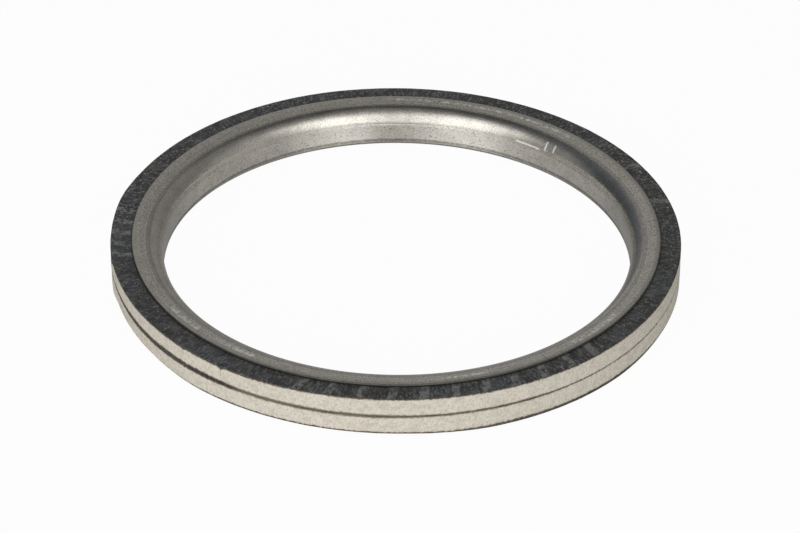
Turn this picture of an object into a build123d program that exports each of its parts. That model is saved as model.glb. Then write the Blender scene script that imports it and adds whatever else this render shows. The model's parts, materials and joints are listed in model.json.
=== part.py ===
from build123d import *
import os
from collections import namedtuple
from math import cos, radians, sin, tan

# Exhaust gasket: two rings of coated fibre sheet, one on the other, held
# together by a C-section eyelet of thin stainless strip that lines the bore.
# Z = 0 is the plane it lies on, under the eyelet's lower flange, and +Z runs
# along the bore. All sizes are in millimetres.

# Eyelet
bore_diameter = 46.8
strip_thickness = 0.3
flange_width = 3.05  # from the bore wall to the flange's cut edge
land_width = 0.5  # flat outer part of each flange
dish_angle = 9.0  # fall of the rest of the flange, towards the bore
formed_lip_radius = 1.8
formed_lip_end = 77.0  # slope of that lip where a corner parts it from the wall
crimped_lip_radius = 0.7

# Fibre rings
facing_thickness = 2.0
facing_margin = 2.05  # fibre that shows beyond the flange
rolled_edge = 0.15  # bevel that punching leaves on each rim

# Seat of the fibre inside the eyelet
wall_clearance = 0.05
crush_clearance = 0.02

bore_radius = bore_diameter / 2
wall_radius = bore_radius + strip_thickness
flange_radius = bore_radius + flange_width
rim_radius = flange_radius + facing_margin
stack_height = 2 * facing_thickness + 2 * strip_thickness
split_level = stack_height / 2
upright = radians(90)

# A slope is a straight stretch of the section. It starts at a radius, at a
# drop below the land, and falls inwards at an angle. A lip is the bend from
# the dish into the bore: its radius, its slope where it ends, and the number
# of flats that stand for the hidden inside of the bend.
Slope = namedtuple("Slope", "radius drop angle")
Lip = namedtuple("Lip", "radius end flats")
land = Slope(flange_radius, 0, 0)
dish = Slope(flange_radius - land_width, 0, radians(dish_angle))
formed_lip = Lip(formed_lip_radius, radians(formed_lip_end), 2)
crimped_lip = Lip(crimped_lip_radius, upright, 1)


def drop(slope, radius, depth):
    """Drop below the land, at a radius, of the surface that lies a depth under
    that slope of the skin."""
    return slope.drop + (slope.radius - radius) * tan(slope.angle) + depth / cos(slope.angle)


def meeting(outer, outer_depth, inner, inner_depth):
    """Point where the surfaces at those depths under two slopes meet."""
    apart = drop(inner, 0, inner_depth) - drop(outer, 0, outer_depth)
    radius = apart / (tan(inner.angle) - tan(outer.angle))
    return (radius, drop(outer, radius, outer_depth))


def on_bend(lip, angle):
    """Point of a lip's skin, a radius and a drop, where it falls at an angle.
    The bend leaves the dish smoothly and ends on the bore wall."""
    centre = bore_radius + lip.radius * sin(lip.end)
    return (centre - lip.radius * sin(angle), drop(dish, centre, lip.radius) - lip.radius * cos(angle))


def bend(lip):
    """Start, middle and end of a lip's skin."""
    return [on_bend(lip, angle) for angle in (dish.angle, (dish.angle + lip.end) / 2, lip.end)]


def under_flange(lip, depth, inner_radius):
    """Corners of the surface that lies a depth under the skin, from the cut
    edge to a wall, each a radius and a drop. Its flats touch the bend."""
    turn = (upright - dish.angle) / (lip.flats + 1)
    angles = [dish.angle + turn * (count + 1) for count in range(lip.flats)]
    slopes = [land, dish] + [Slope(*on_bend(lip, angle), angle) for angle in angles]
    corners = [(flange_radius, depth)]
    corners += [meeting(outer, depth, inner, depth) for outer, inner in zip(slopes, slopes[1:])]
    return corners + [(inner_radius, drop(slopes[-1], inner_radius, depth))]


def from_top(corners):
    """The same corners with drops from the top land turned into heights. Drops
    from the lower land are heights already."""
    return [(radius, stack_height - fall) for radius, fall in corners]


def turned(face):
    """Ring swept round the bore's axis by a section, radius against height."""
    return revolve(Plane.XZ * face, axis=Axis.Z)


def bore_eyelet():
    """One strip of stainless steel: formed above to a wide lip that meets the
    straight wall in a corner, and crimped below to a tight one."""
    flat = [(flange_radius, 0), (dish.radius, 0)]
    formed_bend = from_top(bend(formed_lip))
    crimped_bend = bend(crimped_lip)
    formed_lining = from_top(under_flange(formed_lip, strip_thickness, wall_radius))
    crimped_lining = under_flange(crimped_lip, strip_thickness, wall_radius)
    lining = formed_lining + crimped_lining[::-1]
    return turned(make_face([
        Polyline(formed_bend[0], *from_top(flat[::-1]), *lining, *flat, crimped_bend[0]),
        ThreePointArc(*crimped_bend),
        Line(crimped_bend[-1], formed_bend[-1]),
        ThreePointArc(*formed_bend[::-1]),
    ]))


def facing(lip):
    """Fibre ring drawn as the lower one: flat under the split between the
    rings, bevelled at the rim, and crushed under the flange and its lip."""
    hole_radius = wall_radius + wall_clearance
    seat_depth = strip_thickness + crush_clearance
    crush_start = meeting(land, strip_thickness, dish, seat_depth)
    crushed = under_flange(lip, seat_depth, hole_radius)[2:]
    rim_at_split = (rim_radius, split_level)
    rim_at_face = (rim_radius, strip_thickness)
    face = make_face(Polyline(
        (hole_radius, split_level), rim_at_split, rim_at_face, crush_start, *crushed, close=True))
    for corner in (rim_at_split, rim_at_face):
        face = chamfer(face.vertices().sort_by_distance(corner)[0], rolled_edge)
    return turned(face)


def lower_facing():
    """Ring that the crimped flange closes on."""
    return facing(crimped_lip)


def upper_facing():
    """Ring under the formed flange: drawn upside down and turned over on the
    split."""
    return mirror(facing(formed_lip), about=Plane.XY.offset(split_level))


os.makedirs("parts", exist_ok=True)
for make in (bore_eyelet, lower_facing, upper_facing):
    export_step(make(), f"parts/{make.__name__}.step")
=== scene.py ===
import json
from collections import namedtuple
from math import atan2, cos, degrees, exp, pi, radians, sin, tan

import bmesh
import bpy
from mathutils import Matrix, Vector, noise

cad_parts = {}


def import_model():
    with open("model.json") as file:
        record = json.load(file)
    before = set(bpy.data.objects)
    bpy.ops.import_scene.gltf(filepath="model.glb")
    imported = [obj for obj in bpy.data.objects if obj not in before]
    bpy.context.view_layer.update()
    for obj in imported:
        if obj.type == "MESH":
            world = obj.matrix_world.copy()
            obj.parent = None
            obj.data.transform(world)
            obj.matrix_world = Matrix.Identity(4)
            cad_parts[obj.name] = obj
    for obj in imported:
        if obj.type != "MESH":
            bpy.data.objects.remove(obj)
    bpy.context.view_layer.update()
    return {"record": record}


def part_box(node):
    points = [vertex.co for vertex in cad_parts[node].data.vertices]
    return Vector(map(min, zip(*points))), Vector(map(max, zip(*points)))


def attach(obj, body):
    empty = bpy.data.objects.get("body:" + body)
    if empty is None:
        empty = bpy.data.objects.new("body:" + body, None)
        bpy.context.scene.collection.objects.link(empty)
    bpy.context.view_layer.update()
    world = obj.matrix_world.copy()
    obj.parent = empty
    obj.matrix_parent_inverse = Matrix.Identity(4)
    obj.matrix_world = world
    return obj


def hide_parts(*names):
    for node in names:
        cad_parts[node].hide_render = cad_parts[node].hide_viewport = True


# Exhaust gasket: two coated fibre rings clamped by a stainless eyelet.
# Lengths are in millimetres until a mesh is finished. Angles run from the
# right-hand side (+X) round by the back (+Y), in degrees.

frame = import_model()

MM = 0.001

# Sizes taken from the frame
mounts = {mount["name"]: mount for mount in frame["record"]["mounts"]}
BORE = mounts["bore"]["dims"]["r_mm"]
WALL_MIDDLE = mounts["bore"]["pos_m"][2] / MM
WALL_HEIGHT = mounts["bore"]["dims"]["length_mm"]
WALL_TOP = WALL_MIDDLE + WALL_HEIGHT / 2
WALL_FOOT = WALL_MIDDLE - WALL_HEIGHT / 2
RIM = mounts["rim"]["dims"]["r_mm"]
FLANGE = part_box("bore_eyelet")[1].x / MM
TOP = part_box("bore_eyelet")[1].z / MM
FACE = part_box("upper_facing")[1].z / MM
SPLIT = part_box("upper_facing")[0].z / MM
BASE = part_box("lower_facing")[0].z / MM
STRIP = TOP - FACE
WALL = BORE + STRIP

# Eyelet
LAND_WIDTH = 0.5
LAND_ROUNDING = 0.12
CUT_EDGE = 0.08
TOOL_LINE_DEPTH = 0.02
TOOL_LINE_WIDTH = 0.09
EDGE_WANDER = 0.025
FLANGE_WAVE = 0.015
OFF_CENTRE = Vector((0.02, -0.055, 0.0))
BORE_OFF_FLANGE = Vector((0.106, 0.006, 0.0))

# Fibre. The hole leaves room for the eyelet, which sits off the centre.
UPPER_ROLLED_EDGE = 0.06
LOWER_ROLLED_EDGE = 0.07
SPLIT_EDGE = 0.05
HOLE = WALL + 0.17
SEAT = STRIP + 0.02
WORN_WIDTH = 1.6
RAGGED_WIDTH = 0.3
FIRST_NICK = 224.2
SECOND_NICK = 234.3
GAP_MIDDLE = 217.0

# Mesh. A ring is one sector, turned in steps, and its copies. The pitches are
# the longest edges of a section, on its shown and its hidden stretches.
SECTORS = 30
SECTOR_STEPS = 32
MERGE_DISTANCE = 0.001
SKIN_PITCH = 0.25
LINING_PITCH = 1.2
RIM_PITCH = 0.10
FACE_PITCH = 0.3
CLAMPED_PITCH = 1.5

# A slope is a straight stretch of a section. It starts at a radius, at a drop
# below the land, and falls inwards at an angle. A lip is the bend from the
# dish into the bore: its radius, its slope where it ends, its number of edges
# and the number of flats that stand for the hidden inside of the bend.
Slope = namedtuple("Slope", "radius drop angle")
Lip = namedtuple("Lip", "radius end edges flats")
UPRIGHT = pi / 2
LAND = Slope(FLANGE, 0.0, 0.0)
DISH = Slope(FLANGE - LAND_WIDTH, 0.0, radians(9.0))
FORMED = Lip(1.8, radians(77.0), 20, 2)
CRIMPED = Lip(0.7, UPRIGHT, 12, 1)


def drop(slope, radius, depth):
    """Drop below the land, at a radius, of the surface that lies a depth under
    that slope of the skin."""
    return slope.drop + (slope.radius - radius) * tan(slope.angle) + depth / cos(slope.angle)


def meeting(outer, outer_depth, inner, inner_depth):
    """Point where the surfaces at those depths under two slopes meet."""
    apart = drop(inner, 0, inner_depth) - drop(outer, 0, outer_depth)
    radius = apart / (tan(inner.angle) - tan(outer.angle))
    return (radius, drop(outer, radius, outer_depth))


def on_bend(lip, angle):
    """Point of a lip's skin, a radius and a drop, where it falls at an angle."""
    centre = BORE + lip.radius * sin(lip.end)
    centre_drop = drop(DISH, centre, lip.radius)
    return (centre - lip.radius * sin(angle), centre_drop - lip.radius * cos(angle))


def bend(lip):
    """Points of a lip's skin, from the dish to the bore wall."""
    turn = (lip.end - DISH.angle) / lip.edges
    return [on_bend(lip, DISH.angle + turn * count) for count in range(lip.edges + 1)]


def under_flange(lip, depth, inner_radius):
    """Corners of the surface that lies a depth under the skin, from the cut
    edge to a wall, each a radius and a drop. Its flats touch the bend."""
    turn = (UPRIGHT - DISH.angle) / (lip.flats + 1)
    angles = [DISH.angle + turn * (count + 1) for count in range(lip.flats)]
    slopes = [LAND, DISH] + [Slope(*on_bend(lip, angle), angle) for angle in angles]
    corners = [(FLANGE, depth)]
    corners += [meeting(outer, depth, inner, depth) for outer, inner in zip(slopes, slopes[1:])]
    return corners + [(inner_radius, drop(slopes[-1], inner_radius, depth))]


def from_top(corners):
    """The same corners with drops turned into heights."""
    return [(radius, TOP - fall) for radius, fall in corners]


# Mesh building blocks

def outline(corners, roundings, pitch):
    """Closed section of a ring in the XZ plane. A rounding is a corner, its
    setback and its number of edges. Long runs are cut to the pitch given for
    their middle, and float layers keep each point's radius and height before
    wear."""
    bm = bmesh.new()
    rest_radius = bm.verts.layers.float.new("rest_radius")
    rest_height = bm.verts.layers.float.new("rest_height")
    points = [bm.verts.new((radius, 0.0, height)) for radius, height in corners]
    for a, b in zip(points, points[1:] + points[:1]):
        bm.edges.new((a, b))
    for corner, distance, segments in roundings:
        bmesh.ops.bevel(
            bm, geom=[points[corners.index(corner)]], offset=distance, offset_type="OFFSET",
            affect="VERTICES", segments=segments, profile=0.5, material=-1)
    for edge in bm.edges[:]:
        middle = (edge.verts[0].co + edge.verts[1].co) / 2
        cuts = int(edge.calc_length() / pitch(middle))
        if cuts:
            bmesh.ops.subdivide_edges(bm, edges=[edge], cuts=cuts)
    for point in bm.verts:
        point[rest_radius] = point.co.x
        point[rest_height] = point.co.z
    return bm


def spun(bm):
    """The section turned round the bore's axis into a closed ring: one sector
    first, then its copies."""
    turn = {"cent": (0, 0, 0), "axis": (0, 0, 1)}
    bmesh.ops.spin(
        bm, geom=bm.verts[:] + bm.edges[:], angle=2 * pi / SECTORS, steps=SECTOR_STEPS,
        use_merge=False, use_duplicate=False, **turn)
    bmesh.ops.spin(
        bm, geom=bm.verts[:] + bm.edges[:] + bm.faces[:], angle=2 * pi, steps=SECTORS,
        use_merge=False, use_duplicate=True, **turn)
    bmesh.ops.remove_doubles(bm, verts=bm.verts[:], dist=MERGE_DISTANCE)
    bmesh.ops.recalc_face_normals(bm, faces=bm.faces[:])
    return bm


def piece(name, bm, node, material):
    """A finished ring in the frame's metres, standing for its CAD node."""
    bmesh.ops.scale(bm, vec=(MM, MM, MM), verts=bm.verts[:])
    mesh = bpy.data.meshes.new(name)
    bm.to_mesh(mesh)
    bm.free()
    for polygon in mesh.polygons:
        polygon.use_smooth = True
    mesh.materials.append(material)
    obj = bpy.data.objects.new(name, mesh)
    bpy.context.scene.collection.objects.link(obj)
    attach(obj, "root")
    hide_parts(node)


def polar(point):
    """Radius, outward direction and angle of a point."""
    flat = Vector((point.x, point.y, 0.0))
    return flat.length, flat.normalized(), degrees(atan2(point.y, point.x)) % 360.0


def grain(point, size, seed):
    """Smooth noise from -1 to 1 with features of about that size."""
    return noise.noise(point / size + Vector((seed, 0.37 * seed, -seed)))


def uneven(amount, point, size, seed):
    """The amount made to vary from 0 to twice itself."""
    return amount * (1.0 + grain(point, size, seed))


def clamped(value):
    return max(0.0, min(1.0, value))


def swell(angle, centre, width):
    """1 at the centre angle, falling to 0 on both sides."""
    away = (angle - centre + 180.0) % 360.0 - 180.0
    return exp(-(away / width) ** 2)


def stretch(angle, start, end, soft):
    """1 between two angles, falling to 0 beyond them over the soft width."""
    return clamped((angle - start) / soft + 1.0) * clamped((end - angle) / soft + 1.0)


# Eyelet mesh

def eyelet_section():
    """Skin from the upper land round the bore to the lower land, and back
    along the lining, with the line that the forming tool left on the wall."""
    flat = [(FLANGE, 0.0), (DISH.radius, 0.0)]
    formed_skin = from_top(flat + bend(FORMED))
    crimped_skin = flat + bend(CRIMPED)
    line = formed_skin[-1][1]
    groove = [
        (BORE + TOOL_LINE_DEPTH, line - 0.3 * TOOL_LINE_WIDTH),
        (BORE + TOOL_LINE_DEPTH, line - 0.7 * TOOL_LINE_WIDTH),
        (BORE, line - TOOL_LINE_WIDTH),
    ]
    crimped_lining = under_flange(CRIMPED, STRIP, WALL)
    formed_lining = from_top(under_flange(FORMED, STRIP, WALL))
    corners = formed_skin + groove + crimped_skin[::-1] + crimped_lining + formed_lining[::-1]
    roundings = [
        (formed_skin[0], CUT_EDGE, 3),
        (formed_skin[1], LAND_ROUNDING, 2),
        (crimped_skin[1], LAND_ROUNDING, 2),
        (crimped_skin[0], CUT_EDGE, 3),
    ]

    def pitch(middle):
        shown = middle.x < WALL - 0.01 or middle.z > FACE or middle.z < BASE
        return SKIN_PITCH if shown else LINING_PITCH

    return outline(corners, roundings, pitch)


def wear_eyelet(bm):
    """Unevenness of formed strip: it sits a little off the fibre's centre and
    its bore off the flange's, the cut edge wanders, mostly inwards, and the
    flanges are wavy."""
    for vert in bm.verts:
        place = vert.co.copy()
        radius, outward, _ = polar(place)
        edge = clamped((radius - DISH.radius) / LAND_WIDTH)
        free = clamped((radius - WALL) / (FLANGE - WALL))
        inwards = -1.0 if place.z > SPLIT else 1.0
        vert.co += OFF_CENTRE + BORE_OFF_FLANGE * (1.0 - free)
        vert.co += outward * (edge * EDGE_WANDER * (grain(place, 3.0, 2) - 0.3))
        vert.co.z += inwards * free * uneven(FLANGE_WAVE, place, 9.0, 5)
    return bm


# Facing meshes

def facing_section(upper):
    """Ring of sheet with rolled rim edges, crushed under the eyelet. It is
    drawn as the lower one, and the upper one is turned over."""
    rolled = UPPER_ROLLED_EDGE if upper else LOWER_ROLLED_EDGE
    start = meeting(LAND, STRIP, DISH, SEAT)
    crushed = under_flange(FORMED if upper else CRIMPED, SEAT, HOLE)[2:]
    corners = [(HOLE, SPLIT), (RIM, SPLIT), (RIM, BASE), start, *crushed]
    if upper:
        corners = from_top(corners)
    roundings = [(corners[1], SPLIT_EDGE, 2), (corners[2], rolled, 4)]

    def pitch(middle):
        if middle.x > RIM - RAGGED_WIDTH:
            return RIM_PITCH
        return FACE_PITCH if middle.x > FLANGE - 0.3 else CLAMPED_PITCH

    return outline(corners, roundings, pitch)


def ply_line(angle):
    """Width of the dark line that shows between the two rings. It is a sum of
    widths, each with the stretch that it reaches over."""
    steps = (
        (0.07, (185.0, 332.0, 15.0)),
        (0.18, (190.0, 298.0, 12.0)),
        (0.15, (192.0, 268.0, 10.0)),
        (0.06, (194.0, 236.0, 8.0)),
        (0.16, (192.0, 203.0, 7.0)),
    )
    return sum(width * stretch(angle, *reach) for width, reach in steps)


def inset_at(angle):
    """How far the lower ring's rim lies inside the upper one's: it has been
    knocked in at the left, abruptly at one end."""
    depth = 0.19 + 0.06 * clamped((angle - 194.0) / 11.0)
    return depth * clamped((angle - 190.0) / 4.0) * clamped((228.0 - angle) / 14.0)


def bulge_at(angle):
    """How far the upper ring's rim stands out at the back and left."""
    return 0.035 * stretch(angle, 105.0, 187.0, 10.0) + 0.14 * swell(angle, 166.0, 7.0)


def gap_at(angle):
    """How far each ring's rim has sprung from the split."""
    return 0.085 * stretch(angle, 195.0, 232.0, 7.0)


def hang_at(angle):
    """How far the lower ring's rim hangs down, where its edge has spread."""
    return 0.24 * stretch(angle, 288.0, 320.0, 16.0)


def coat_at_face(angle, upper):
    """How far the coat turns over the rim's outer edge. It has been dragged
    down the upper rim where that bulges, at the far left."""
    if upper:
        dragged = 0.9 * clamped((angle - 158.0) / 16.0) * clamped((191.0 - angle) / 3.0)
        worn = 0.14 * stretch(angle, 160.0, 232.0, 30.0)
        nicks = 0.14 * swell(angle, FIRST_NICK, 0.5) + 0.22 * swell(angle, SECOND_NICK, 0.5)
        return 0.08 + worn + nicks + dragged
    worn = 0.14 * stretch(angle, 230.0, 335.0, 12.0) + 0.16 * stretch(angle, 292.0, 323.0, 12.0)
    return 0.02 + worn


def coat_at_split(angle, upper):
    """How far the coat turns over the rim's edge at the split. Where the lower
    rim is knocked in, more of its coat shows."""
    if upper:
        return 0.44 * ply_line(angle) + 0.50 * inset_at(angle)
    return 0.40 * ply_line(angle) + 1.4 * inset_at(angle)


def wear_facing(bm, upper):
    """Ragged punched rim, the gap between the rings, the bulge, the knock with
    the upper edge sagging over it, the hanging edge, and a float layer that
    tells pale core (above 0) from coat (below 0)."""
    seed = 11 if upper else 23
    face = FACE if upper else BASE
    away = 1.0 if upper else -1.0
    core = bm.verts.layers.float.new("core_depth")
    rest = bm.verts.layers.float["rest_height"]
    for vert in bm.verts:
        place = vert.co.copy()
        radius, outward, angle = polar(place)
        inside = RIM - radius
        from_face = abs(face - vert[rest])
        from_split = abs(vert[rest] - SPLIT)
        below_coat = from_face - coat_at_face(angle, upper)
        past_split = from_split - coat_at_split(angle, upper)
        vert[core] = min(below_coat, past_split) - inside
        rim = clamped(1.0 - inside / WORN_WIDTH)
        if rim == 0.0:
            continue
        edge = clamped(1.0 - inside / RAGGED_WIDTH)
        near_split = clamped(1.0 - from_split / (FACE - SPLIT))

        ragged = uneven(0.010, place, 1.1, seed) + uneven(0.008, place, 0.4, seed + 1)
        shift = -bulge_at(angle) if upper else inset_at(angle)
        vert.co -= outward * (rim * shift + edge * ragged)
        sprung = 1.0 + 0.6 * grain(place, 1.7, seed + 2) + 0.6 * grain(place, 0.6, seed + 3)
        vert.co.z += away * rim * rim * near_split * max(gap_at(angle) * sprung, 0.0)
        if upper:
            vert.co.z -= 0.9 * inset_at(angle) * edge * near_split ** 2
        else:
            vert.co.z -= rim * rim * (1.0 - near_split) * hang_at(angle)
        vert.co.z -= away * edge * (1.0 - near_split) * uneven(0.01, place, 1.3, seed + 4)
        vert.co.x = max(-RIM, min(RIM, vert.co.x))
    return bm


# Shader building blocks

def srgb(red, green, blue):
    """An 8-bit display colour as the linear colour that shaders take."""
    def linear(value):
        value /= 255.0
        return value / 12.92 if value <= 0.04045 else ((value + 0.055) / 1.055) ** 2.4
    return (linear(red), linear(green), linear(blue), 1.0)


class Graph:
    """A node tree with short calls for the nodes used here. An input may be
    another node's output or a plain value."""

    def __init__(self, owner):
        owner.use_nodes = True
        self.tree = owner.node_tree

    def node(self, kind, inputs=(), **settings):
        made = self.tree.nodes.new("ShaderNode" + kind)
        for name, value in settings.items():
            setattr(made, name, value)
        for key, value in dict(inputs).items():
            self.put(made.inputs[key], value)
        return made

    def put(self, socket, value):
        if isinstance(value, bpy.types.NodeSocket):
            self.tree.links.new(value, socket)
        else:
            socket.default_value = value

    def math(self, operation, a, b=0.0):
        return self.node("Math", {0: a, 1: b}, operation=operation).outputs[0]

    def folded(self, operation, values):
        """One value from many, by an operation on two."""
        total, *others = values
        for value in others:
            total = self.math(operation, total, value)
        return total

    def plus(self, *values):
        return self.folded("ADD", values)

    def times(self, *values):
        return self.folded("MULTIPLY", values)

    def any_of(self, masks):
        """The highest of the masks at each point."""
        return self.folded("MAXIMUM", masks)

    def off(self, value, middle):
        """How far a value is from a middle one."""
        return self.math("ABSOLUTE", self.math("SUBTRACT", value, middle))

    def vector(self, operation, a, b):
        """The operation on vectors a and b, or on a and a number for SCALE."""
        second = "Scale" if operation == "SCALE" else 1
        return self.node("VectorMath", {0: a, second: b}, operation=operation).outputs["Vector"]

    def ramp(self, value, low, high, start=0.0, end=1.0):
        """Maps low..high smoothly to start..end, and holds beyond. The low
        end may be the greater one."""
        inputs = {0: value, 1: low, 2: high, 3: start, 4: end}
        return self.node("MapRange", inputs, interpolation_type="SMOOTHSTEP").outputs[0]

    def band(self, value, low, high, soft):
        """1 between low and high, with soft ends."""
        return self.times(self.ramp(value, low - soft, low), self.ramp(value, high + soft, high))

    def mix(self, factor, a, b):
        made = self.node("Mix", {"Factor": factor}, data_type="RGBA")
        self.put(made.inputs["A"], a)
        self.put(made.inputs["B"], b)
        return made.outputs["Result"]

    def layered(self, colour, layers):
        """A colour with layers over it, each a mask and its own colour."""
        for mask, over in layers:
            colour = self.mix(mask, colour, over)
        return colour

    def blend(self, factor, a, b):
        """Node that mixes the shaders of two nodes."""
        return self.node("MixShader", {0: factor, 1: a.outputs[0], 2: b.outputs[0]})

    def noise(self, vector, size, detail=3.0, roughness=0.55):
        inputs = {"Vector": vector, "Scale": 1.0 / size, "Detail": detail, "Roughness": roughness}
        return self.node("TexNoise", inputs).outputs[0]

    def parts(self, vector):
        return self.node("SeparateXYZ", {0: vector}).outputs

    def join(self, x, y, z):
        return self.node("CombineXYZ", {0: x, 1: y, 2: z}).outputs[0]


class RingMaterial(Graph):
    """A material with the places that ring-shaped patterns need."""

    def __init__(self, name):
        self.material = bpy.data.materials.new(name)
        super().__init__(self.material)
        self.surface = self.tree.nodes["Principled BSDF"]
        self.place = self.vector("SCALE", self.node("TexCoord").outputs["Object"], 1 / MM)
        x, self.y, _ = self.parts(self.place)
        flat = self.join(x, self.y, 0.0)
        self.outward = self.node("VectorMath", {0: flat}, operation="NORMALIZE").outputs["Vector"]
        self.radius = self.layer("rest_radius")
        self.height = self.layer("rest_height")

    def layer(self, name):
        """A float layer of the mesh."""
        return self.node("Attribute", attribute_name=name).outputs["Fac"]

    def wrapped(self, around, across):
        """A place on a circle round the axis, moved along it by `across`."""
        circle = self.vector("SCALE", self.outward, RIM / around)
        return self.vector("ADD", circle, self.join(0.0, 0.0, across))

    def round_and_up(self, around, up):
        """A seamless place for a noise of size 1 whose features are `around`
        long round the axis and `up` long along it."""
        return self.wrapped(around, self.math("DIVIDE", self.height, up))

    def round_and_out(self, around, out):
        """The same for a flat face, with `out` measured along the radius."""
        return self.wrapped(around, self.math("DIVIDE", self.radius, out))

    def towards(self, way):
        """Share of the outward direction that points a way."""
        made = self.node("VectorMath", {0: self.outward, 1: way}, operation="DOT_PRODUCT")
        return made.outputs["Value"]

    def along(self, angle):
        """Distance round the rim from an angle, in millimetres, good within
        half a turn of it."""
        ahead = (cos(radians(angle)), sin(radians(angle)), 0.0)
        aside = (-ahead[1], ahead[0], 0.0)
        return self.times(self.math("ARCTAN2", self.towards(aside), self.towards(ahead)), RIM)

    def streak(self, angle, half, measure, low, high, soft=0.05):
        """A mark at an angle, with half its width, that lies between two values
        of a measure, such as a radius or a height."""
        aside = self.math("ABSOLUTE", self.along(angle))
        return self.times(self.ramp(aside, half + soft, half), self.band(measure, low, high, soft))

    def bump(self, height, distance, strength):
        inputs = {"Height": height, "Distance": distance * MM, "Strength": strength}
        return self.node("Bump", inputs).outputs[0]

    def finish(self, **sockets):
        for name, value in sockets.items():
            self.put(self.surface.inputs[name.replace("_", " ")], value)
        return self.material


# Fibre material

def fibre_core(m, depth):
    """Colour and relief of pale sheared fibre, stained brown next to the coat
    and cracked below the nicks."""
    patch = m.noise(m.place, 2.0, 3.0)
    grit = m.noise(m.place, 0.18, 4.0, 0.65)
    mottle = m.noise(m.round_and_up(0.8, 0.5), 1.0, 3.0, 0.6)
    speck = m.noise(m.place, 0.3, 2.0)
    shear = m.noise(m.round_and_up(0.14, 0.5), 1.0, 4.0, 0.6)
    cracks = m.any_of([
        m.streak(FIRST_NICK, 0.02, m.height, FACE - 1.0, FACE - 0.2),
        m.streak(SECOND_NICK, 0.02, m.height, FACE - 1.4, FACE - 0.2),
        m.streak(235.6, 0.02, m.height, BASE + 0.6, BASE + 1.4),
    ])
    pale = m.mix(m.ramp(patch, 0.35, 0.65), srgb(221, 214, 201), srgb(217, 213, 200))
    core = m.layered(pale, [
        (m.ramp(shear, 0.42, 0.70, 0.0, 0.4), srgb(184, 176, 160)),
        (m.ramp(mottle, 0.46, 0.66, 0.0, 0.5), srgb(190, 182, 166)),
        (m.ramp(grit, 0.46, 0.68, 0.0, 0.6), srgb(166, 157, 142)),
        (m.ramp(speck, 0.68, 0.76, 0.0, 0.35), srgb(140, 127, 108)),
        (m.ramp(depth, 0.0, 0.16, 0.55, 0.0), srgb(122, 108, 88)),
        (m.times(cracks, m.ramp(grit, 0.40, 0.55, 0.1, 0.5)), srgb(118, 106, 92)),
    ])
    fuzz = m.plus(m.times(grit, 0.8), m.times(shear, 0.5))
    return core, fuzz


def printed_bars(m):
    """Worn grey print on the upper face, drawn as rows of plain slanted bars.
    A row is the angle of its first bar, its number of bars and their spacing."""
    lean = m.times(m.math("SUBTRACT", m.radius, FLANGE), 0.25)
    rows = []
    for first, bars, spacing in ((172.0, 5, 2.1), (251.5, 11, 3.1), (14.4, 2, 7.3)):
        place = m.plus(m.along(first), lean)
        beat = m.math("PINGPONG", place, spacing / 2)
        row = m.band(place, -0.6, (bars - 1) * spacing + 0.6, 0.1)
        rows.append(m.times(m.ramp(beat, 0.48, 0.36), row))
    worn = m.ramp(m.noise(m.place, 0.7, 4.0, 0.75), 0.40, 0.58)
    on_face = m.times(m.ramp(m.height, FACE - 0.3, FACE - 0.1), m.ramp(m.radius, RIM, RIM - 0.12))
    return m.times(m.any_of(rows), worn, on_face)


def fibre_coat(m, depth):
    """Near-black coat with fine pale scratches, dusty scuffs and print, brown
    at its border with the core. Where the rings are pressed together, it shows
    between them as a paler line with a broken dark seam."""
    patch = m.noise(m.place, 5.0, 3.0)
    cloud = m.noise(m.place, 1.3, 5.0, 0.65)
    dust = m.noise(m.place, 0.22, 4.0, 0.7)
    scratch = m.noise(m.round_and_out(0.13, 0.8), 1.0, 3.0, 0.6)
    dusty = m.times(m.ramp(dust, 0.57, 0.65, 0.0, 0.95), m.ramp(m.y, -15.0, 12.0, 0.55, 1.0))
    at_split = m.band(m.height, SPLIT - 0.4, SPLIT + 0.4, 0.1)
    pressed = m.times(at_split, m.ramp(m.math("ABSOLUTE", m.along(GAP_MIDDLE)), 8.5, 11.5))
    border = m.ramp(depth, -0.22, -0.02, 0.0, 0.9)
    brown = m.mix(pressed, srgb(80, 68, 53), srgb(118, 108, 94))
    seam = m.times(pressed, m.ramp(m.off(m.height, SPLIT), 0.09, 0.05))
    near_black = m.mix(m.ramp(patch, 0.35, 0.68), srgb(43, 42, 41), srgb(48, 50, 54))
    return m.layered(near_black, [
        (m.ramp(cloud, 0.46, 0.66, 0.0, 0.45), srgb(88, 89, 88)),
        (m.ramp(scratch, 0.52, 0.64, 0.0, 0.65), srgb(112, 112, 109)),
        (dusty, srgb(156, 156, 153)),
        (m.times(printed_bars(m), 0.8), srgb(123, 123, 121)),
        (m.any_of([border, m.times(pressed, 0.95)]), brown),
        (m.times(seam, m.ramp(cloud, 0.38, 0.52, 0.9, 0.3)), srgb(58, 51, 45)),
    ])


def coated_fibre():
    """Coat over a pale core, divided by the core depth and a ragged noise."""
    m = RingMaterial("coated_fibre")
    ragged = m.math("SUBTRACT", m.noise(m.place, 0.32, 5.0, 0.7), 0.5)
    depth = m.plus(m.layer("core_depth"), m.times(ragged, 0.42))
    bare = m.ramp(depth, -0.02, 0.03)
    core, fuzz = fibre_core(m, depth)
    return m.finish(
        Base_Color=m.mix(bare, fibre_coat(m, depth), core),
        Roughness=m.ramp(bare, 0.0, 1.0, 0.55, 0.9),
        Normal=m.bump(fuzz, 0.05, m.ramp(bare, 0.0, 1.0, 0.25, 0.8)))


# Steel material. The places of its marks are distances out from the bore
# wall, drops below the top, or heights near the wall's foot.

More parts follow.
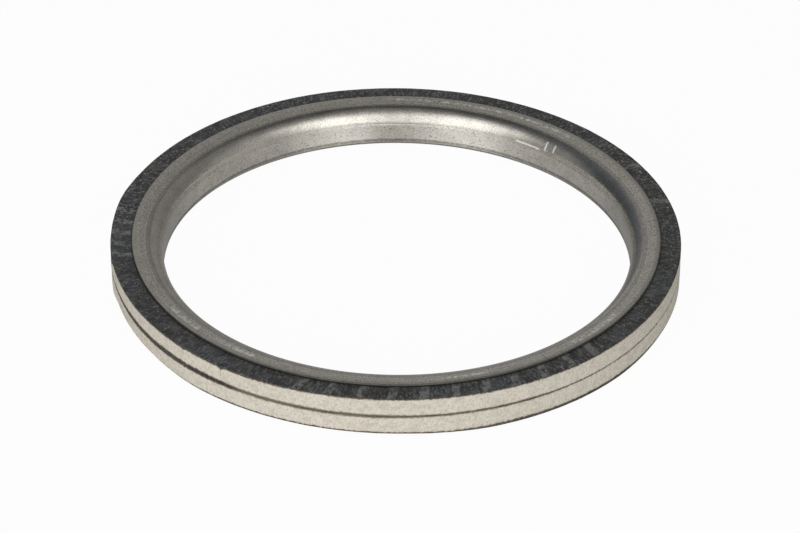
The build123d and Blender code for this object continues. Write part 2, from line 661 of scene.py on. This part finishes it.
def rubs_and_painted_glint(m):
    """Rub marks that the forming tool left on the lip at the right, partly real
    burnish and partly a painted glint: their near-white colour stands in for
    the window light that they catch. A rub is its angle, half its width, and
    the drops where it starts and ends."""
    fall = m.math("SUBTRACT", TOP, m.height)
    marks = ((49.2, 0.08, 0.60, 1.35), (46.6, 0.08, 0.60, 1.20), (54.4, 1.7, 1.40, 1.48))
    return m.any_of([m.streak(angle, half, fall, *ends, 0.09) for angle, half, *ends in marks])


def struck(m, out):
    """Broken bright marks on the dish from closing the eyelet. A mark is its
    angle, half its length and where it starts."""
    marks = (
        (68.0, 11.0, 2.2),
        (217.0, 2.6, 2.0),
        (233.0, 2.6, 2.0),
        (285.0, 2.5, 2.1),
        (319.0, 3.5, 2.0),
    )
    dashes = m.noise(m.round_and_out(0.45, 0.4), 1.0, 2.0)
    whole = m.any_of([m.streak(angle, half, out, start, 2.4, 0.15) for angle, half, start in marks])
    return m.times(whole, m.ramp(dashes, 0.40, 0.66, 0.0, 0.8))


def dark_marks(m, out, on_wall):
    """Pits on the wall, a darker band at its foot and two scored lines across the
    flange."""
    pit = m.noise(m.round_and_up(0.35, 0.16), 1.0, 3.0, 0.65)
    pits = m.times(on_wall, m.ramp(pit, 0.57, 0.67, 0.0, 0.85))
    foot = m.band(m.height, WALL_FOOT - 0.06, WALL_FOOT + 0.11, 0.13)
    # The wall is made darker in a band at its foot.
    darker_foot = m.times(foot, m.ramp(pit, 0.38, 0.56, 0.45, 0.85))
    scored = m.any_of([m.streak(angle, 0.03, out, 1.8, 3.0) for angle in (5.3, 303.5)])
    return m.any_of([pits, darker_foot, m.times(scored, 0.7)])


def stainless_strip():
    """Formed stainless: satin flange with pale flecks and dark grit, a duller
    land whose cut edge is painted near black as shade, a band of painted dark
    reflection in the bend below the dish, a burnished lip and a dull wall."""
    m = RingMaterial("stainless_strip")
    out = m.math("SUBTRACT", m.radius, BORE)
    on_wall = m.ramp(m.height, WALL_TOP + 0.01, WALL_TOP - 0.03)
    on_land = m.ramp(m.radius, DISH.radius - 0.04, DISH.radius + 0.04)
    # Mask of the cut edge: painted shade (near black) and extra roughness.
    cut = m.ramp(m.radius, FLANGE - 0.10, FLANGE - 0.04)
    flecked = m.ramp(out, 0.1, 1.0, 0.15, 1.0)
    gritty = m.ramp(out, 0.9, 1.6, 0.42, 1.0)
    # Painted dark reflection: the bend just below the dish is darkened where it mirrors the dark
    # ceiling.
    shoulder_painted_reflection = m.band(out, 1.28, 1.63, 0.1)
    mottle = m.noise(m.place, 1.6, 4.0)
    grit = m.noise(m.place, 0.15, 4.0, 0.7)
    fleck = m.noise(m.round_and_out(0.3, 0.16), 1.0, 4.0, 0.65)
    drawn = m.noise(m.round_and_up(4.0, 0.05), 1.0, 3.0, 0.6)
    bright = rubs_and_painted_glint(m)

    satin = m.mix(m.ramp(mottle, 0.35, 0.68), (0.625, 0.595, 0.535, 1), (0.73, 0.695, 0.63, 1))
    steel = m.layered(satin, [
        (m.times(flecked, m.ramp(fleck, 0.50, 0.70, 0.0, 0.7)), (0.90, 0.87, 0.81, 1)),
        (m.times(gritty, m.ramp(grit, 0.47, 0.62, 0.0, 0.95)), (0.26, 0.24, 0.21, 1)),
        # Painted dark reflection band in the bend below the dish.
        (m.times(shoulder_painted_reflection, 0.55), (0.28, 0.27, 0.24, 1)),
        (m.ramp(out, 1.6, 1.9, 0.0, 0.24), (0.30, 0.28, 0.24, 1)),
        (m.times(on_land, 0.45), (0.40, 0.38, 0.34, 1)),
        # Painted shade: the cut edge is made near black, as if in shadow.
        (m.times(cut, 0.85), (0.10, 0.10, 0.09, 1)),
        (struck(m, out), (1.0, 0.98, 0.92, 1)),
        (dark_marks(m, out, on_wall), (0.20, 0.19, 0.17, 1)),
        # Rub marks: partly real burnish, partly a painted glint in near white.
        (bright, (1.0, 0.98, 0.95, 1)),
    ])
    dulled = m.plus(m.times(on_wall, 0.08), m.times(on_land, 0.08), m.times(cut, 0.3))
    relief = m.plus(m.times(grit, 0.6), m.times(flecked, fleck), m.times(drawn, 0.8))
    return m.finish(
        Base_Color=steel,
        Metallic=1.0,
        Roughness=m.plus(m.ramp(mottle, 0.3, 0.7, 0.17, 0.21), dulled, m.times(bright, 0.35)),
        Normal=m.bump(relief, 0.016, 0.6))


# Pieces

def build_gasket():
    strip = spun(eyelet_section())
    steel = stainless_strip()
    piece("bore_eyelet_strip", wear_eyelet(strip), "bore_eyelet", steel)
    fibre = coated_fibre()
    for node in ("upper_facing", "lower_facing"):
        upper = node == "upper_facing"
        sheet = spun(facing_section(upper))
        piece(node + "_sheet", wear_facing(sheet, upper), node, fibre)


# Studio

CAMERA_TILT = radians(33.50)
CAMERA_ROLL = radians(0.393)
CAMERA_OFFSET = (0.421, -3.200, 400.07)
LENS = 180.0
SENSOR = 36.0
FLOOR_GLOW = 0.96


def camera():
    """Long lens from the front, looking down at the ring; the offset is along
    the camera's own right, up and back, from the centre of the top face."""
    right = Vector((1, 0, 0))
    up = Vector((0, sin(CAMERA_TILT), cos(CAMERA_TILT)))
    back = Vector((0, -cos(CAMERA_TILT), sin(CAMERA_TILT)))
    turn = Matrix((right, up, back)).transposed()
    place = Vector((0, 0, FACE)) + turn @ Vector(CAMERA_OFFSET)
    data = bpy.data.cameras.new("camera")
    data.lens = LENS
    data.sensor_width = SENSOR
    data.clip_start = 0.01
    data.clip_end = 20.0
    obj = bpy.data.objects.new("camera", data)
    roll = Matrix.Rotation(CAMERA_ROLL, 4, "Z")
    obj.matrix_world = Matrix.Translation(place * MM) @ turn.to_4x4() @ roll
    bpy.context.scene.collection.objects.link(obj)
    bpy.context.scene.camera = obj


def floor():
    """White paper: nearly all glow to the camera, so that only a faint shadow
    stays. The steel sees the studio's own floor instead."""
    bm = bmesh.new()
    bmesh.ops.create_grid(bm, x_segments=1, y_segments=1, size=3.0)
    mesh = bpy.data.meshes.new("floor")
    bm.to_mesh(mesh)
    bm.free()
    paper = bpy.data.materials.new("floor_paper")
    g = Graph(paper)
    sheet = g.tree.nodes["Principled BSDF"]
    g.put(sheet.inputs["Base Color"], (0.8, 0.8, 0.8, 1))
    g.put(sheet.inputs["Roughness"], 1.0)
    g.put(sheet.inputs["Specular IOR Level"], 0.0)
    light = g.node("LightPath")
    white = g.node("Emission", {"Strength": 1.0})
    to_camera = g.blend(FLOOR_GLOW, sheet, white)
    shown = g.blend(light.outputs["Is Camera Ray"], sheet, to_camera)
    g.put(g.tree.nodes["Material Output"].inputs["Surface"], shown.outputs[0])
    mesh.materials.append(paper)
    obj = bpy.data.objects.new("floor", mesh)
    obj.visible_glossy = False
    bpy.context.scene.collection.objects.link(obj)


def softbox(name, direction, distance, width, height, power):
    """Area lamp that faces the gasket; the steel sees the world's windows
    instead of it."""
    data = bpy.data.lights.new(name, "AREA")
    data.shape = "RECTANGLE"
    data.size = width
    data.size_y = height
    data.energy = power
    obj = bpy.data.objects.new(name, data)
    away = Vector(direction).normalized()
    obj.location = away * distance
    obj.rotation_euler = away.to_track_quat("Z", "Y").to_euler()
    obj.visible_glossy = False
    bpy.context.scene.collection.objects.link(obj)


def studio_seen_by_steel(g, x, y, z):
    """Brightness of the room round the gasket by direction: darker sides and
    ceiling, a pale floor, a backdrop behind, and in front a wide window over a
    table. The forward angle runs from straight up over the camera's side and
    down."""
    aside = g.math("ABSOLUTE", x)
    forward = g.math("ARCTAN2", g.times(y, -1.0), z)

    def turned(low, high, start=0.0, end=1.0):
        return g.ramp(forward, radians(low), radians(high), start, end)

    sides = g.times(g.ramp(x, -0.8, 0.1, 0.08, 0.26), g.ramp(x, 0.25, 0.7, 1.0, 0.78))
    flank = g.times(g.ramp(aside, 0.35, 0.8, 0.0, 0.16), g.ramp(y, 0.32, 0.0))
    ceiling = g.times(
        turned(5.0, -20.0, 0.0, 0.65),
        turned(-50.0, -36.0),
        g.ramp(aside, 0.25, 0.55, 1.0, 0.0))
    walls = g.times(g.plus(sides, flank), g.math("SUBTRACT", 1.0, ceiling))
    paper = g.times(g.ramp(z, 0.1, -0.45), g.ramp(aside, 0.4, 0.95, 0.29, 0.48))
    backdrop = g.times(
        g.ramp(g.off(x, -0.08), 0.12, 0.30, 0.41, 0.0),
        turned(-34.0, -39.5),
        g.ramp(z, 0.3, -0.1, 1.0, 0.65))

    off_window = g.off(x, -0.045)
    lift = g.plus(
        g.ramp(aside, 0.1, 0.4, 0.0, radians(7.0)),
        g.times(g.band(x, -0.45, -0.25, 0.12), radians(5.0)))
    window = g.times(
        g.ramp(aside, 0.08, 0.40, 0.90, 1.55),
        g.ramp(g.plus(forward, lift), radians(5.0), radians(55.0)),
        turned(90.0, 122.0, 1.0, 0.0))
    table = g.times(
        g.ramp(aside, 0.08, 0.40, 0.20, 0.85),
        g.ramp(off_window, 0.45, 0.75, 1.0, 0.4),
        turned(90.0, 122.0),
        turned(140.0, 175.0, 1.0, 0.0))
    front = g.times(g.ramp(off_window, 0.50, 0.88, 1.0, 0.05), g.plus(window, table))
    return g.plus(g.any_of([walls, paper, backdrop]), front)


def world():
    """White to the camera, the studio to the steel, an even fill otherwise.
    The studio's dark left side is a little cool."""
    made = bpy.data.worlds.new("studio")
    g = Graph(made)
    g.tree.nodes.clear()
    x, y, z = g.parts(g.node("TexCoord").outputs["Generated"])
    light = g.node("LightPath")
    white = g.node("Background", {"Strength": 1.0})
    fill = g.node("Background", {"Strength": 0.50})
    glow = studio_seen_by_steel(g, x, y, z)
    cool = g.times(g.ramp(x, -0.1, -0.5), g.ramp(glow, 0.24, 0.12))
    tone = g.mix(cool, (1, 1, 1, 1), (0.92, 1.0, 1.14, 1))
    room = g.node("Background", {"Color": tone, "Strength": glow})
    lit = g.blend(light.outputs["Is Glossy Ray"], fill, room)
    direct = g.any_of([light.outputs["Is Camera Ray"], light.outputs["Is Transmission Ray"]])
    shown = g.blend(direct, lit, white)
    g.node("OutputWorld", {"Surface": shown.outputs[0]})
    bpy.context.scene.world = made


build_gasket()
floor()
softbox("key", direction=(-0.22, -1.0, 0.50), distance=1.0, width=1.2, height=0.8, power=7.7)
world()
camera()
bpy.context.scene.view_settings.view_transform = "Standard"
